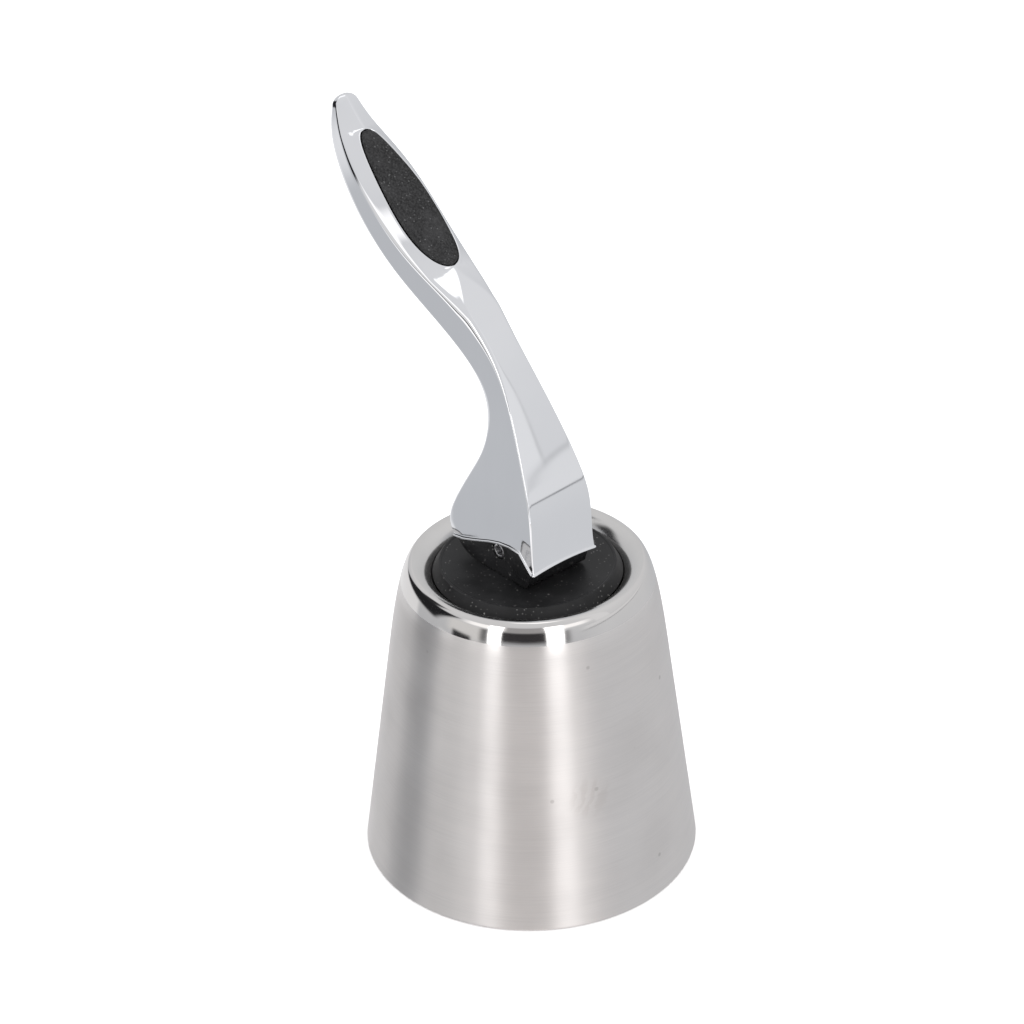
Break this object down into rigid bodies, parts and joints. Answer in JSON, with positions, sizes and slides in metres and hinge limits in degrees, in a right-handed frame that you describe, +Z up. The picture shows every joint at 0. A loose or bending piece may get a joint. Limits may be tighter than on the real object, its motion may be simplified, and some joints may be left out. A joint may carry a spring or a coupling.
{
  "type": "lever bottle stopper",
  "caption": "Bottle stopper with a brushed steel bell, a black top disc, a rubber plug inside and a chrome S-shaped cam lever that squeezes the plug.",
  "frame": {"origin": "on the bell's axis in the plane of the bell's rim, which it stands on; the plug's tip face lies 0.35 mm above it", "axes": "+Z up along the bell's axis, from the rim to the lever; -X the side that the lever leans to and turns down to; Y along the pivot pin"},
  "size_m": [0.0578, 0.045, 0.0985],
  "materials": {
    "bell_steel": "fine brushing round the wall, polished shoulder",
    "lever_chrome": "mirror polished plating over cast zinc",
    "black_plastic": "satin moulded",
    "grip_rubber": "fine grained matte",
    "seal_rubber": "smooth matte",
    "steel": "turned and bright",
    "bush_plastic": "natural acetal"
  },
  "bodies": {
    "bell": {"bell_cover": "bell_steel", "cam_disc": "black_plastic", "core_body": "black_plastic", "core_screw_1": "steel", "core_screw_2": "steel", "core_screw_3": "steel", "lip_gasket": "seal_rubber", "guide_bush": "bush_plastic", "rod_o_ring": "seal_rubber", "upper_washer": "steel", "plug": "seal_rubber"},
    "rod": {"pull_rod": "steel", "lower_washer": "steel", "lock_washer": "steel", "lock_nut": "steel", "end_cap": "black_plastic"},
    "lever": {"lever_shell": "lever_chrome", "cam_block": "black_plastic", "grip_inlay": "grip_rubber", "pivot_pin": "steel"}
  },
  "joints": [
    {"name": "rod_slide", "type": "slide", "parent": "bell", "child": "rod", "axis": [0, 0, 1], "range_m": [0, 0.0068], "deforming": ["plug"]},
    {"name": "lever_pivot", "type": "hinge", "parent": "rod", "child": "lever", "pos_m": [0, 0, 0.0471], "axis": [0, -1, 0], "range_deg": [0, 88]}
  ],
  "couplings": [
    {"joint": "rod_slide", "follows": "lever_pivot", "m_per_rad": 0.0044274}
  ]
}
